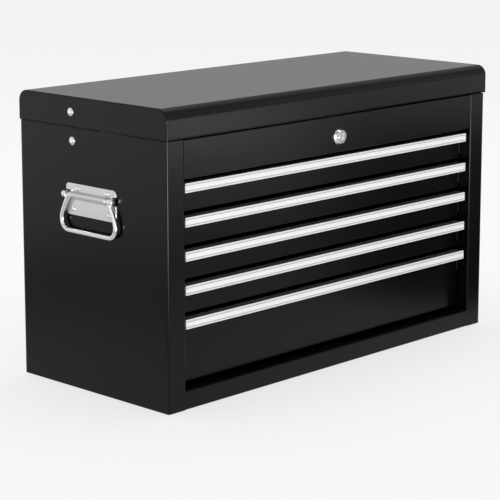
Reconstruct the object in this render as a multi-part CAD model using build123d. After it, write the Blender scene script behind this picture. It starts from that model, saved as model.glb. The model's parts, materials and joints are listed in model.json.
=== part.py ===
from build123d import *
import math
import os

# Machinist tool chest: five drawers under a hinged lid with a till.
# Millimetres. X is the width, -Y the front, +Z up.
# The origin is the middle of the case's footprint.

# Case
CASE_WIDTH = 600.0
CASE_DEPTH = 264.0
CASE_HEIGHT = 325.0
SHEET = 1.0
CORNER_BEND = 2.0
FLANGE_BEND = 1.5
STILE_WIDTH = 28.0
JAMB_DEPTH = 18.0
BOTTOM_RAIL_HEIGHT = 22.5
LOCK_PANEL_BOTTOM = 278.0
BACK_FLANGE = 12.0
FLOOR_FLANGE = 15.0
TILL_FLANGE = 8.0
LINER_FLANGE = 10.0

# Lid
LID_HEIGHT = 37.0
LID_SEAM = 1.0
LID_OVERHANG = 2.0
LID_ROLL = 13.5
LID_END_THICKNESS = 2.0
LID_END_ROUNDING = 1.5
LID_HEM = 7.0

# Drawers, from the top one down
PULL_TOPS = (272.0, 231.0, 190.0, 149.0, 108.0)
FRONT_GAP = 4.5
DEEP_DRAWER_BOTTOM = 28.0
FRONT_HALF_WIDTH = 270.0
TRAY_HALF_WIDTH = 260.0
TRAY_LENGTH = 230.0
TRAY_SIDE_DROP = 4.0
TRAY_HEM = 2.5

# Pulls
PULL_HALF_WIDTH = 267.0
PULL_HEIGHT = 11.5
PULL_RECESS = 4.0
PULL_WALL = 1.5
PULL_LIP = 4.0
PULL_GROOVE = 1.2
PULL_GROOVE_DEPTH = 0.6

# Drawer rails
RAIL_SHEET = 1.2
CASE_RAIL_HEIGHT = 20.0
CASE_RAIL_DEPTH = 9.0
DRAWER_RAIL_HEIGHT = 16.0
DRAWER_RAIL_DEPTH = 10.0
RAIL_DROP = 21.0
RAIL_START = 2.0
DRAWER_RAIL_START = 6.0

# Piano hinge
KNUCKLE_COUNT = 29
KNUCKLE_PITCH = 20.0
KNUCKLE_GAP = 0.5
KNUCKLE_RADIUS = 2.5
PIN_RADIUS = 1.25
PIVOT_CLEARANCE = 0.05
LEAF_THICKNESS = 1.0
LEAF_HEIGHT = 18.0
LEAF_SETBACK = 3.2
HINGE_STANDOFF = 2.6

# Lid stays
LID_TRAVEL = 95.0
STAY_PIVOT_Y = 34.0
CASE_PIVOT_Z = 308.5
LID_PIVOT_Z = 344.0
STAY_THICKNESS = 1.5
STAY_HALF_WIDTH = 6.5
CASE_LINK_FACE = 298.5
LID_LINK_FACE = 296.7
STAY_RIVET_RADIUS = 2.5
STAY_HEAD_RADIUS = 5.2
STAY_HEAD_HEIGHT = 1.8

# Side handles
HANDLE_Y = 0.0
PLATE_LENGTH = 90.0
PLATE_BOTTOM = 218.0
PLATE_TOP = 257.0
PLATE_THICKNESS = 1.5
PLATE_CORNER = 5.0
BAIL_AXIS_Z = 243.6
BAIL_STANDOFF = 5.5
BAIL_WIRE = 6.0
BAIL_HEAD_RADIUS = 4.5
BAIL_HEAD_SPAN = (38.5, 45.5)
BAIL_ARM_START = 36.0
BAIL_HALF_SPAN = 48.3
BAIL_DROP = 44.0
BAIL_TOP_BEND = 4.0
BAIL_KNEE_DROP = 26.0
BAIL_KNEE_BEND = 20.0
BAIL_BOTTOM_BEND = 12.0
TUNNEL_HALF_LENGTH = 32.0
TUNNEL_WALL = 0.9
NOTCH_HALF_HEIGHT = 4.8
NOTCH_DEPTH = 9.0
SPINDLE_INSERT = 20.0
PLATE_RIVETS = ((24.5, 251.2), (-28.0, 251.2), (32.0, 225.4), (-32.0, 225.4))
PLATE_RIVET_HEAD = 3.4
PLATE_RIVET_DOME = 1.6
PLATE_RIVET_SHANK = 2.2

# Lock
LOCK_Z = 298.0
LOCK_BASE_RADIUS = 10.5
LOCK_FACE_RADIUS = 8.1
LOCK_FACE_HEIGHT = 4.6
LOCK_NOTCH_WIDTH = 5.0
LOCK_NOTCH_DEPTH = 2.2
LOCK_BARREL_RADIUS = 8.5
LOCK_BARREL_LENGTH = 20.0
PLUG_RADIUS = 5.2
PLUG_STEP = 0.5
KEYWAY_WIDTH = 1.4
KEYWAY_HEIGHT = 6.6
KEYWAY_DEPTH = 12.0
NUT_ACROSS_FLATS = 22.0
NUT_THICKNESS = 4.0
CAM_THICKNESS = 2.0
CAM_HALF_WIDTH = 6.0
CAM_REACH = 28.0
CAM_SQUARE = 7.0
STRIKE_X = (15.0, 29.0)
STRIKE_THICKNESS = 1.5
STRIKE_TAB = 8.5
STRIKE_FLANGE = 25.0

# Worked out from the sizes above
HALF_WIDTH = CASE_WIDTH / 2
FRONT = -CASE_DEPTH / 2
BACK = CASE_DEPTH / 2
OPENING_HALF = HALF_WIDTH - STILE_WIDTH
LID_BOTTOM = CASE_HEIGHT + LID_SEAM
LID_TOP = LID_BOTTOM + LID_HEIGHT
LID_FRONT = FRONT - LID_OVERHANG
LID_HALF_WIDTH = HALF_WIDTH + LID_OVERHANG
PANEL_Y = FRONT + JAMB_DEPTH
HINGE_Y = BACK + HINGE_STANDOFF
HINGE_Z = CASE_HEIGHT + LID_SEAM / 2
SIDES = {"left": -1, "right": 1}


def block(x, y, z):
    """A box between three pairs of limits."""
    size = [limits[1] - limits[0] for limits in (x, y, z)]
    return Pos(sum(x) / 2, sum(y) / 2, sum(z) / 2) * Box(*size)


def bent_sheet(points, bend, thickness, plane, span):
    """A bent sheet: the outer path has its material on the left, and runs along the plane's normal."""
    path = FilletPolyline(*points, radius=bend)
    outline = path.wire().offset_2d(thickness, kind=Kind.ARC, side=Side.LEFT, closed=True)
    face = make_face(outline.edges())
    return extrude(plane.offset(span[0]) * face, amount=span[1] - span[0])


def rod(start, end, radius):
    """A round bar between two points."""
    line = Line(start, end)
    return sweep(Plane(origin=start, z_dir=line % 0) * Circle(radius), path=line)


def mirrored(shape, side):
    """The shape made for the right side, moved to the side asked for."""
    return shape if side > 0 else mirror(shape, about=Plane.YZ)


def rivet_head(radius, height):
    """A domed head that rises along +Z from the origin."""
    dome_radius = (radius ** 2 + height ** 2) / (2 * height)
    dome = Pos(0, 0, height - dome_radius) * Sphere(dome_radius)
    return dome & Pos(0, 0, height / 2) * Box(2 * radius + 1, 2 * radius + 1, height)


def case_side(side):
    """One sheet: back flange, side wall, front stile and the jamb beside the drawers."""
    points = [
        (HALF_WIDTH - BACK_FLANGE, BACK - SHEET),
        (HALF_WIDTH, BACK - SHEET),
        (HALF_WIDTH, FRONT),
        (OPENING_HALF, FRONT),
        (OPENING_HALF, PANEL_Y),
    ]
    path = [(-x, y) for x, y in points]
    wall = bent_sheet(path, CORNER_BEND, SHEET, Plane.XY, (0, CASE_HEIGHT))
    hole_ends = [(step - HALF_WIDTH, STAY_PIVOT_Y, CASE_PIVOT_Z) for step in (-5, 5)]
    wall -= rod(*hole_ends, STAY_RIVET_RADIUS + PIVOT_CLEARANCE)
    for y, z in PLATE_RIVETS:
        wall -= rod((-HALF_WIDTH - 5, HANDLE_Y + y, z), (-HALF_WIDTH + 5, HANDLE_Y + y, z),
                    PLATE_RIVET_SHANK + PIVOT_CLEARANCE)
    return mirrored(mirror(wall, about=Plane.YZ), side)


def back_panel():
    """The flat back between the two sides."""
    inside = HALF_WIDTH - SHEET
    return block((-inside, inside), (BACK - SHEET, BACK), (0, CASE_HEIGHT))


def floor_pan():
    """The floor, with flanges turned up along the sides and the back."""
    inside = HALF_WIDTH - SHEET
    front = PANEL_Y + SHEET
    back = BACK - 3 * SHEET
    pan = block((-inside, inside), (front, back), (0, SHEET))
    pan += block((-inside, inside), (back - SHEET, back), (0, FLOOR_FLANGE))
    for side in SIDES.values():
        pan += block(sorted((side * inside, side * (inside - SHEET))), (front, back), (0, FLOOR_FLANGE))
        corner = sorted((side * (OPENING_HALF + SHEET), side * (inside - SHEET)))
        pan += block(corner, (FRONT + CORNER_BEND, front), (0, SHEET))
    return pan


def bottom_rail():
    """The rail under the lowest drawer, with the ledge behind its top edge."""
    ledge_back = PANEL_Y + SHEET
    points = [
        (ledge_back, BOTTOM_RAIL_HEIGHT - BACK_FLANGE),
        (ledge_back, BOTTOM_RAIL_HEIGHT),
        (FRONT, BOTTOM_RAIL_HEIGHT),
        (FRONT, 0),
        (ledge_back, 0),
    ]
    return bent_sheet(points, FLANGE_BEND, SHEET, Plane.YZ, (-OPENING_HALF, OPENING_HALF))


def lock_panel():
    """The fixed panel above the drawers, with the hole for the lock."""
    points = [
        (FRONT + BACK_FLANGE, CASE_HEIGHT),
        (FRONT, CASE_HEIGHT),
        (FRONT, LOCK_PANEL_BOTTOM),
        (PANEL_Y, LOCK_PANEL_BOTTOM),
    ]
    panel = bent_sheet(points, FLANGE_BEND, SHEET, Plane.YZ, (-OPENING_HALF, OPENING_HALF))
    return panel - rod((0, FRONT - 5, LOCK_Z), (0, FRONT + 5, LOCK_Z), LOCK_BARREL_RADIUS + PIVOT_CLEARANCE)


def till_floor():
    """The floor of the till, with welding flanges turned down at the sides and the back."""
    inside = HALF_WIDTH - SHEET
    back = BACK - 3 * SHEET
    low = LOCK_PANEL_BOTTOM - TILL_FLANGE
    top = LOCK_PANEL_BOTTOM + SHEET
    sheet = block((-inside, inside), (PANEL_Y, back), (LOCK_PANEL_BOTTOM, top))
    sheet += block((-inside, inside), (back - SHEET, back), (low, top))
    for side in SIDES.values():
        sheet += block(sorted((side * inside, side * (inside - SHEET))), (PANEL_Y, back), (low, top))
        corner = sorted((side * (OPENING_HALF + SHEET), side * (inside - SHEET)))
        sheet += block(corner, (FRONT + CORNER_BEND, PANEL_Y), (LOCK_PANEL_BOTTOM, top))
    return sheet


def inner_liner(side):
    """The channel-shaped wall beside the drawers that carries the rails."""
    wall_x = OPENING_HALF + SHEET
    points = [
        (wall_x + LINER_FLANGE, SHEET),
        (wall_x, SHEET),
        (wall_x, LOCK_PANEL_BOTTOM),
        (wall_x + LINER_FLANGE, LOCK_PANEL_BOTTOM),
    ]
    path = [(-x, z) for x, z in points]
    wall = bent_sheet(path, FLANGE_BEND, SHEET, Plane.XZ, (4 * SHEET - BACK, -PANEL_Y + BACK_FLANGE))
    return mirrored(mirror(wall, about=Plane.YZ), side)


def rail_heights():
    """The middle of each drawer's rails, from the top drawer down."""
    return [top - RAIL_DROP for top in PULL_TOPS]


def case_rails(side):
    """Five channels on the liner, open towards the drawers."""
    wall_x = OPENING_HALF + SHEET
    half = CASE_RAIL_HEIGHT / 2
    start = PANEL_Y + RAIL_START
    rails = []
    for middle in rail_heights():
        points = [
            (wall_x - CASE_RAIL_DEPTH, middle - half),
            (wall_x, middle - half),
            (wall_x, middle + half),
            (wall_x - CASE_RAIL_DEPTH, middle + half),
        ]
        channel = bent_sheet(points, FLANGE_BEND, RAIL_SHEET, Plane.XZ, (-start - TRAY_LENGTH, -start))
        rails.append(mirrored(channel, side))
    return Compound(children=rails)


def drawer_bottom(index):
    """The lower edge of a drawer's front."""
    if index == len(PULL_TOPS) - 1:
        return DEEP_DRAWER_BOTTOM
    return PULL_TOPS[index + 1] + FRONT_GAP


def drawer_tray(index):
    """The front panel and the open box behind it."""
    low, top = drawer_bottom(index), PULL_TOPS[index]
    side_top = top - TRAY_SIDE_DROP
    tray_back = PANEL_Y + TRAY_LENGTH
    front = block((-FRONT_HALF_WIDTH, FRONT_HALF_WIDTH), (PANEL_Y, PANEL_Y + SHEET), (low, top))
    front += block((-FRONT_HALF_WIDTH, FRONT_HALF_WIDTH), (PANEL_Y, PANEL_Y + 8 * SHEET),
                   (low, low + SHEET))
    tray = block((-TRAY_HALF_WIDTH, TRAY_HALF_WIDTH), (PANEL_Y, tray_back), (low, side_top))
    inner = TRAY_HALF_WIDTH - SHEET
    tray -= block((-inner, inner), (PANEL_Y + SHEET, tray_back - SHEET), (low + 2 * SHEET, side_top))
    for side in SIDES.values():
        hem = sorted((side * TRAY_HALF_WIDTH, side * (TRAY_HALF_WIDTH - TRAY_HEM)))
        tray += block(hem, (PANEL_Y, tray_back), (side_top - SHEET, side_top))
    return fillet((front + tray).edges().filter_by(Axis.X).sort_by(Axis.Y)[:2], SHEET * 0.6)


def drawer_pull(index):
    """An extruded grip along the drawer's top edge, with two grooves in its face."""
    top = PULL_TOPS[index]
    low = top - PULL_HEIGHT
    face_y = FRONT + PULL_RECESS
    span = (-PULL_HALF_WIDTH, PULL_HALF_WIDTH)
    web = block(span, (face_y, PANEL_Y), (top - PULL_WALL, top))
    face = block(span, (face_y, face_y + PULL_WALL), (low, top))
    lip = block(span, (face_y, face_y + PULL_LIP), (low, low + PULL_WALL))
    heel = block(span, (PANEL_Y - PULL_WALL, PANEL_Y), (top - PULL_HEIGHT * 0.8, top))
    pull = web + face + lip + heel
    front_edges = pull.edges().filter_by(Axis.X).group_by(Axis.Y)[0]
    pull = fillet(front_edges, PULL_WALL * 0.45)
    for height in (low + PULL_HEIGHT * 0.2, top - PULL_HEIGHT * 0.2):
        groove = (height - PULL_GROOVE / 2, height + PULL_GROOVE / 2)
        pull -= block(span, (face_y - 1, face_y + PULL_GROOVE_DEPTH), groove)
    return pull


def drawer_rails(index):
    """The two channels on the tray's sides that run inside the case's channels."""
    middle = rail_heights()[index]
    half = DRAWER_RAIL_HEIGHT / 2
    points = [
        (TRAY_HALF_WIDTH + DRAWER_RAIL_DEPTH, middle + half),
        (TRAY_HALF_WIDTH, middle + half),
        (TRAY_HALF_WIDTH, middle - half),
        (TRAY_HALF_WIDTH + DRAWER_RAIL_DEPTH, middle - half),
    ]
    start = PANEL_Y + DRAWER_RAIL_START
    span = (-PANEL_Y - TRAY_LENGTH, -start)
    channel = bent_sheet(points, FLANGE_BEND, RAIL_SHEET, Plane.XZ, span)
    return Compound(children=[mirrored(channel, side) for side in SIDES.values()])


def lid_outline():
    """The lid's profile seen from the side, with both top corners rolled."""
    return [(BACK, LID_BOTTOM), (BACK, LID_TOP), (LID_FRONT, LID_TOP), (LID_FRONT, LID_BOTTOM)]


def lid_cover():
    """The top sheet, rolled over the front and the back, with a hem under the front edge."""
    half = LID_HALF_WIDTH - LID_END_THICKNESS
    shell = bent_sheet(lid_outline(), LID_ROLL, SHEET, Plane.YZ, (-half, half))
    hem = block((-half, half), (LID_FRONT, LID_FRONT + LID_HEM), (LID_BOTTOM, LID_BOTTOM + SHEET))
    shell += hem
    lowest_front = shell.edges().filter_by(Axis.X).group_by(Axis.Z)[0].sort_by(Axis.Y)[0]
    return fillet(lowest_front, SHEET * 0.8)


def lid_end(side):
    """A flat end plate with the cover's outline, its outer rim rounded."""
    inner = LID_HALF_WIDTH - LID_END_THICKNESS
    plate = block((inner, LID_HALF_WIDTH), (LID_FRONT, BACK), (LID_BOTTOM, LID_TOP))
    rolls = plate.edges().filter_by(Axis.X).group_by(Axis.Z)[-1]
    plate = fillet(rolls, LID_ROLL)
    plate = fillet(plate.faces().sort_by(Axis.X)[-1].edges(), LID_END_ROUNDING)
    hole_ends = [(LID_HALF_WIDTH + step, STAY_PIVOT_Y, LID_PIVOT_Z) for step in (-5, 5)]
    plate -= rod(*hole_ends, STAY_RIVET_RADIUS + PIVOT_CLEARANCE)
    return mirrored(plate, side)


def lid_strike():
    """The bracket that hangs from the lid, with the tab that the cam turns over."""
    strip_front = FRONT + LOCK_BARREL_LENGTH + 8.0
    low = LOCK_Z - CAM_HALF_WIDTH - 5.0
    top = LID_TOP - SHEET
    strike = block(STRIKE_X, (strip_front, strip_front + STRIKE_THICKNESS), (low, top))
    strike += block(STRIKE_X, (strip_front - STRIKE_TAB, strip_front), (low, low + STRIKE_THICKNESS))
    flange = (strip_front, strip_front + STRIKE_FLANGE)
    return strike + block(STRIKE_X, flange, (top - STRIKE_THICKNESS, top))


def hinge_leaf(parity, direction):
    """A leaf with every second knuckle. The case's leaf hangs down, the lid's stands up."""
    half = KNUCKLE_COUNT * KNUCKLE_PITCH / 2
    near = HINGE_Z + direction * LEAF_SETBACK
    far = near + direction * LEAF_HEIGHT
    leaf = block((-half, half), (BACK, BACK + LEAF_THICKNESS), sorted((near, far)))
    for index in range(parity, KNUCKLE_COUNT, 2):
        start = -half + index * KNUCKLE_PITCH + KNUCKLE_GAP / 2
        end = start + KNUCKLE_PITCH - KNUCKLE_GAP
        leaf += block((start, end), (BACK, BACK + LEAF_THICKNESS), sorted((HINGE_Z, near)))
        leaf += rod((start, HINGE_Y, HINGE_Z), (end, HINGE_Y, HINGE_Z), KNUCKLE_RADIUS)
    reach = half + KNUCKLE_PITCH
    return leaf - rod((-reach, HINGE_Y, HINGE_Z), (reach, HINGE_Y, HINGE_Z), PIN_RADIUS + PIVOT_CLEARANCE)


def hinge_pin():
    """The wire that runs through all the knuckles."""
    half = KNUCKLE_COUNT * KNUCKLE_PITCH / 2 + 1.0
    return rod((-half, HINGE_Y, HINGE_Z), (half, HINGE_Y, HINGE_Z), PIN_RADIUS)


def turned_about_hinge(y, z, degrees):
    """Where a point of the lid goes when the lid opens."""
    angle = math.radians(degrees)
    dy, dz = y - HINGE_Y, z - HINGE_Z
    return (HINGE_Y + dy * math.cos(angle) + dz * math.sin(angle),
            HINGE_Z - dy * math.sin(angle) + dz * math.cos(angle))


def stay_geometry():
    """The links' length, which is straight at full travel, and the elbow's place with the lid shut."""
    open_y, open_z = turned_about_hinge(STAY_PIVOT_Y, LID_PIVOT_Z, LID_TRAVEL)
    length = math.hypot(open_y - STAY_PIVOT_Y, open_z - CASE_PIVOT_Z) / 2
    half_gap = (LID_PIVOT_Z - CASE_PIVOT_Z) / 2
    elbow_y = STAY_PIVOT_Y - math.sqrt(length ** 2 - half_gap ** 2)
    return length, (elbow_y, CASE_PIVOT_Z + half_gap)


def stay_link(pivot_z, outer_face, side):
    """A flat bar from a pivot to the elbow, with round ends."""
    _, elbow = stay_geometry()
    pivot = (STAY_PIVOT_Y, pivot_z)
    centre_line = Line(pivot, elbow)
    bar = Plane.YZ.offset(outer_face - STAY_THICKNESS) * SlotCenterToCenter(
        centre_line.length, 2 * STAY_HALF_WIDTH)
    bar = extrude(bar, amount=STAY_THICKNESS)
    angle = math.degrees(math.atan2(elbow[1] - pivot[1], elbow[0] - pivot[0]))
    middle = ((pivot[0] + elbow[0]) / 2, (pivot[1] + elbow[1]) / 2)
    bar = Pos(0, *middle) * Rot(X=angle) * bar
    for y, z in (pivot, elbow):
        bar -= rod((outer_face - 5, y, z), (outer_face + 5, y, z), STAY_RIVET_RADIUS + PIVOT_CLEARANCE)
    return mirrored(bar, side)


def stay_rivet(outer_face, link_face, pivot_z, side, shoulder_to=None):
    """A rivet from a domed head on the outside, through the wall, to a head behind its link."""
    y = STAY_PIVOT_Y
    tail = link_face - STAY_THICKNESS - 0.2
    head = rivet_head(STAY_HEAD_RADIUS, STAY_HEAD_HEIGHT)
    head = Plane(origin=(outer_face, y, pivot_z), z_dir=(1, 0, 0)) * head
    rivet = head + rod((tail, y, pivot_z), (outer_face, y, pivot_z), STAY_RIVET_RADIUS)
    rivet += rod((tail - 1.3, y, pivot_z), (tail, y, pivot_z), STAY_RIVET_RADIUS + 2.0)
    if shoulder_to:
        rivet += rod((link_face + 0.2, y, pivot_z), (shoulder_to, y, pivot_z), STAY_RIVET_RADIUS + 1.5)
    return mirrored(rivet, side)


def elbow_rivet(side):
    """The elbow's rivet, held by the lid link."""
    _, (y, z) = stay_geometry()
    inner = LID_LINK_FACE - STAY_THICKNESS
    rivet = rod((inner - 1.3, y, z), (inner, y, z), STAY_RIVET_RADIUS + 2.0)
    rivet += rod((inner, y, z), (LID_LINK_FACE, y, z), STAY_RIVET_RADIUS)
    return mirrored(rivet, side)


def handle_plate(side):
    """The pressed plate with a raised tunnel for the bail's spindles and a notch at each end."""
    face = HALF_WIDTH
    height = PLATE_TOP - PLATE_BOTTOM
    middle = (PLATE_TOP + PLATE_BOTTOM) / 2
    outline = Pos(HANDLE_Y, middle) * RectangleRounded(PLATE_LENGTH, height, PLATE_CORNER)
    plate = extrude(Plane.YZ.offset(face) * outline, amount=PLATE_THICKNESS)
    plate = fillet(plate.faces().sort_by(Axis.X)[-1].edges(), PLATE_THICKNESS * 0.35)
    axis_x = face + BAIL_STANDOFF
    bore = BAIL_WIRE / 2 + PIVOT_CLEARANCE
    hull = bore + TUNNEL_WALL
    run = (HANDLE_Y - TUNNEL_HALF_LENGTH, HANDLE_Y + TUNNEL_HALF_LENGTH)
    tunnel = block((face, axis_x), run, (BAIL_AXIS_Z - hull, BAIL_AXIS_Z + hull))
    tunnel += rod((axis_x, run[0], BAIL_AXIS_Z), (axis_x, run[1], BAIL_AXIS_Z), hull)
    plate += tunnel
    plate -= block((face, axis_x), (run[0] - 1, run[1] + 1), (BAIL_AXIS_Z - bore, BAIL_AXIS_Z + bore))
    plate -= rod((axis_x, run[0] - 1, BAIL_AXIS_Z), (axis_x, run[1] + 1, BAIL_AXIS_Z), bore)
    for end in (-1, 1):
        notch_y = HANDLE_Y + end * (PLATE_LENGTH / 2 - NOTCH_DEPTH + NOTCH_HALF_HEIGHT)
        outer_y = HANDLE_Y + end * (PLATE_LENGTH / 2 + 1)
        heights = (BAIL_AXIS_Z - NOTCH_HALF_HEIGHT, BAIL_AXIS_Z + NOTCH_HALF_HEIGHT)
        plate -= block((face, axis_x), sorted((notch_y, outer_y)), heights)
        plate -= rod((face, notch_y, BAIL_AXIS_Z), (axis_x, notch_y, BAIL_AXIS_Z), NOTCH_HALF_HEIGHT)
    for y, z in PLATE_RIVETS:
        plate -= rod((face - 1, HANDLE_Y + y, z), (face + 5, HANDLE_Y + y, z),
                     PLATE_RIVET_SHANK + PIVOT_CLEARANCE)
    return mirrored(plate, side)


def handle_rivets(side):
    """Four rivets through the plate and the side wall."""
    outer = HALF_WIDTH + PLATE_THICKNESS
    inner = HALF_WIDTH - SHEET
    rivets = []
    for y, z in PLATE_RIVETS:
        centre_y = HANDLE_Y + y
        head = rivet_head(PLATE_RIVET_HEAD, PLATE_RIVET_DOME)
        rivet = Plane(origin=(outer, centre_y, z), z_dir=(1, 0, 0)) * head
        rivet += rod((inner, centre_y, z), (outer, centre_y, z), PLATE_RIVET_SHANK)
        rivet += rod((inner - 1.0, centre_y, z), (inner, centre_y, z), PLATE_RIVET_HEAD)
        rivets.append(mirrored(rivet, side))
    return Compound(children=rivets)


def bail(side):
    """The bent-wire handle, hanging. Its two ends turn in to the tunnel, beside round heads on the axis."""
    x = HALF_WIDTH + BAIL_STANDOFF
    end_y = TUNNEL_HALF_LENGTH - SPINDLE_INSERT
    half = [(end_y, 0), (BAIL_ARM_START, 0), (BAIL_HALF_SPAN, -BAIL_KNEE_DROP), (BAIL_HALF_SPAN, -BAIL_DROP)]
    outline = half + [(-y, drop) for y, drop in reversed(half)]
    points = [(x, HANDLE_Y + y, BAIL_AXIS_Z + drop) for y, drop in outline]
    bends = [BAIL_TOP_BEND, BAIL_KNEE_BEND, BAIL_BOTTOM_BEND]
    path = FilletPolyline(*points, radius=bends + bends[::-1])
    start = Plane(origin=points[0], z_dir=path % 0)
    wire = sweep(start * Circle(BAIL_WIRE / 2), path=path)
    for end in (-1, 1):
        near, far = [(x, HANDLE_Y + end * y, BAIL_AXIS_Z) for y in BAIL_HEAD_SPAN]
        wire += rod(near, far, BAIL_HEAD_RADIUS)
    return mirrored(wire, side)


def lock_housing():
    """The lock's body: a tapered face with a notch in its rim, and a barrel behind the panel."""
    face = FRONT - LOCK_FACE_HEIGHT
    cone = Pos(0, 0, LOCK_FACE_HEIGHT / 2) * Cone(LOCK_BASE_RADIUS, LOCK_FACE_RADIUS, LOCK_FACE_HEIGHT)
    cone = Plane(origin=(0, FRONT, LOCK_Z), z_dir=(0, -1, 0)) * cone
    cone = fillet(cone.edges().filter_by(GeomType.CIRCLE).sort_by(Axis.Y)[0], PLUG_STEP)
    notch_x = (-LOCK_BASE_RADIUS - 1, LOCK_NOTCH_DEPTH - LOCK_BASE_RADIUS)
    notch_z = (LOCK_Z - LOCK_NOTCH_WIDTH / 2, LOCK_Z + LOCK_NOTCH_WIDTH / 2)
    cone -= block(notch_x, (face - 1, FRONT - SHEET), notch_z)
    body = cone + rod((0, FRONT, LOCK_Z), (0, FRONT + LOCK_BARREL_LENGTH, LOCK_Z), LOCK_BARREL_RADIUS)
    bore = PLUG_RADIUS + PIVOT_CLEARANCE
    return body - rod((0, face - 1, LOCK_Z), (0, FRONT + LOCK_BARREL_LENGTH + 1, LOCK_Z), bore)


def lock_nut():
    """The hexagonal nut that clamps the lock to the panel."""
    near = FRONT + SHEET
    outline = Pos(0, LOCK_Z) * RegularPolygon(NUT_ACROSS_FLATS / 2, 6, major_radius=False)
    nut = extrude(Plane.XZ.offset(-near) * outline, amount=-NUT_THICKNESS)
    return nut - rod((0, near - 1, LOCK_Z), (0, near + NUT_THICKNESS + 1, LOCK_Z),
                     LOCK_BARREL_RADIUS + PIVOT_CLEARANCE)


def lock_plug():
    """The turning plug, with its keyway upright and a square tail for the cam."""
    face = FRONT - LOCK_FACE_HEIGHT - PLUG_STEP
    barrel_end = FRONT + LOCK_BARREL_LENGTH + 0.5
    plug = rod((0, face, LOCK_Z), (0, barrel_end, LOCK_Z), PLUG_RADIUS)
    plug = fillet(plug.edges().filter_by(GeomType.CIRCLE).sort_by(Axis.Y)[0], PLUG_STEP * 0.8)
    half = CAM_SQUARE / 2
    plug += block((-half, half), (barrel_end, barrel_end + CAM_THICKNESS), (LOCK_Z - half, LOCK_Z + half))
    keyway_z = (LOCK_Z - KEYWAY_HEIGHT / 2, LOCK_Z + KEYWAY_HEIGHT / 2)
    return plug - block((-KEYWAY_WIDTH / 2, KEYWAY_WIDTH / 2), (face - 1, face + KEYWAY_DEPTH), keyway_z)


def lock_cam():
    """The flat cam on the plug's square tail, upright when unlocked."""
    near = FRONT + LOCK_BARREL_LENGTH + 0.5
    tip = CAM_REACH - CAM_HALF_WIDTH
    outline = Rot(Z=90) * SlotCenterPoint((tip / 2, 0), (tip, 0), 2 * CAM_HALF_WIDTH)
    outline = Plane.XZ.offset(-near) * Pos(0, LOCK_Z) * outline
    cam = extrude(outline, amount=-CAM_THICKNESS)
    half = CAM_SQUARE / 2
    return cam - block((-half, half), (near - 1, near + CAM_THICKNESS + 1), (LOCK_Z - half, LOCK_Z + half))


def cam_screw():
    """The screw head that holds the cam on the plug."""
    near = FRONT + LOCK_BARREL_LENGTH + 0.5 + CAM_THICKNESS
    head = rod((0, near, LOCK_Z), (0, near + 2.2, LOCK_Z), 5.0)
    slot = block((-6, 6), (near + 1.4, near + 3), (LOCK_Z - 0.5, LOCK_Z + 0.5))
    return head - slot


def build():
    """Every node by name."""
    nodes = {
        "case_back_panel": back_panel(),
        "case_floor": floor_pan(),
        "front_bottom_rail": bottom_rail(),
        "lock_panel": lock_panel(),
        "till_floor": till_floor(),
        "hinge_case_leaf": hinge_leaf(0, -1),
        "hinge_lid_leaf": hinge_leaf(1, 1),
        "hinge_pin": hinge_pin(),
        "lid_cover": lid_cover(),
        "lid_strike": lid_strike(),
        "lock_housing": lock_housing(),
        "lock_nut": lock_nut(),
        "lock_plug": lock_plug(),
        "lock_cam": lock_cam(),
        "cam_screw": cam_screw(),
    }
    lid_inner_face = LID_HALF_WIDTH - LID_END_THICKNESS
    case_rivets, lid_rivets = [], []
    for name, side in SIDES.items():
        nodes[f"case_{name}_side"] = case_side(side)
        nodes[f"{name}_inner_liner"] = inner_liner(side)
        nodes[f"{name}_drawer_rails"] = case_rails(side)
        nodes[f"lid_{name}_end"] = lid_end(side)
        nodes[f"{name}_handle_plate"] = handle_plate(side)
        nodes[f"{name}_handle_rivets"] = handle_rivets(side)
        nodes[f"{name}_bail"] = bail(side)
        nodes[f"{name}_stay_case_link"] = stay_link(CASE_PIVOT_Z, CASE_LINK_FACE, side)
        nodes[f"{name}_stay_lid_link"] = stay_link(LID_PIVOT_Z, LID_LINK_FACE, side)
        nodes[f"{name}_stay_elbow_rivet"] = elbow_rivet(side)
        case_rivets.append(stay_rivet(HALF_WIDTH, CASE_LINK_FACE, CASE_PIVOT_Z, side))
        lid_rivets.append(stay_rivet(LID_HALF_WIDTH, LID_LINK_FACE, LID_PIVOT_Z, side, lid_inner_face))
    nodes["stay_case_rivets"] = Compound(children=case_rivets)
    nodes["stay_lid_rivets"] = Compound(children=lid_rivets)
    for index in range(len(PULL_TOPS)):
        nodes[f"drawer_{index + 1}_tray"] = drawer_tray(index)
        nodes[f"drawer_{index + 1}_pull"] = drawer_pull(index)
        nodes[f"drawer_{index + 1}_rails"] = drawer_rails(index)
    return nodes


os.makedirs("parts", exist_ok=True)
for node, shape in build().items():
    export_step(shape, f"parts/{node}.step")
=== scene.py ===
import json
import logging
import math
from dataclasses import dataclass
from enum import Enum
from typing import Any, Callable, Sequence

import bmesh
import bpy
from mathutils import Matrix, Vector


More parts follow.
